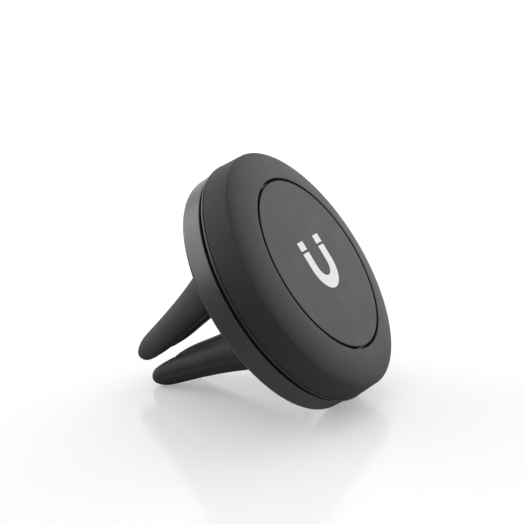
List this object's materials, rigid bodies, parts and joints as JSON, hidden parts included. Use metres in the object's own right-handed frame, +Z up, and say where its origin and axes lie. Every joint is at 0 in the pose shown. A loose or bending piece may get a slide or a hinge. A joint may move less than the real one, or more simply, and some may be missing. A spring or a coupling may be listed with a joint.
{
  "type": "magnetic phone mount for car vents",
  "caption": "Round magnetic phone holder head on a rubber fork that grips a car air-vent blade.",
  "frame": {"origin": "under the middle of the mount, on the surface that it lies on", "axes": "+Z up from the surface, +X to the right when looking at the face, the face looks towards -Y and up; the mount lies on the edge of its rear cover and on the tips of its two lower fingers"},
  "size_m": [0.044, 0.0434, 0.0407],
  "materials": {
    "skin_rubber": "matte soft-touch",
    "disc_rubber": "matte soft-touch",
    "shell_plastic": "satin",
    "cover_plastic": "satin",
    "inner_plastic": "moulded, matte",
    "fork_rubber": "smooth moulded rubber",
    "magnet_nickel": "bright nickel plate",
    "plate_steel": "rolled, zinc plated",
    "screw_steel": "zinc plated"
  },
  "bodies": {
    "head": {"front_rubber_skin": "skin_rubber", "face_disc": "disc_rubber", "front_shell": "shell_plastic", "magnet_carrier": "inner_plastic", "magnet_upper_right": "magnet_nickel", "magnet_upper_left": "magnet_nickel", "magnet_lower_left": "magnet_nickel", "magnet_lower_right": "magnet_nickel", "steel_backing_plate": "plate_steel", "clip_retainer_plate": "inner_plastic", "retainer_screw_right": "screw_steel", "retainer_screw_top": "screw_steel", "retainer_screw_left": "screw_steel", "retainer_screw_bottom": "screw_steel", "rear_cover": "cover_plastic", "cover_screw_upper_right": "screw_steel", "cover_screw_upper_left": "screw_steel", "cover_screw_lower_left": "screw_steel", "cover_screw_lower_right": "screw_steel", "clip_base": "fork_rubber"},
    "finger_upper_right": {"prong_upper_right": "fork_rubber"},
    "finger_upper_left": {"prong_upper_left": "fork_rubber"},
    "finger_lower_left": {"prong_lower_left": "fork_rubber"},
    "finger_lower_right": {"prong_lower_right": "fork_rubber"}
  },
  "joints": [
    {"name": "upper_right_finger_bend", "type": "hinge", "parent": "head", "child": "finger_upper_right", "pos_m": [0.00559, 0.00687, 0.01814], "axis": [0.7071, -0.3844, -0.5935], "range_deg": [-4, 10], "stiffness_Nm_per_rad": 0.3},
    {"name": "upper_left_finger_bend", "type": "hinge", "parent": "head", "child": "finger_upper_left", "pos_m": [-0.00559, 0.00687, 0.01814], "axis": [0.7071, 0.3844, 0.5935], "range_deg": [-4, 10], "stiffness_Nm_per_rad": 0.3},
    {"name": "lower_left_finger_bend", "type": "hinge", "parent": "head", "child": "finger_lower_left", "pos_m": [-0.00559, 0.00079, 0.00876], "axis": [-0.7071, 0.3844, 0.5935], "range_deg": [-4, 10], "stiffness_Nm_per_rad": 0.3},
    {"name": "lower_right_finger_bend", "type": "hinge", "parent": "head", "child": "finger_lower_right", "pos_m": [0.00559, 0.00079, 0.00876], "axis": [-0.7071, -0.3844, -0.5935], "range_deg": [-4, 10], "stiffness_Nm_per_rad": 0.3}
  ]
}
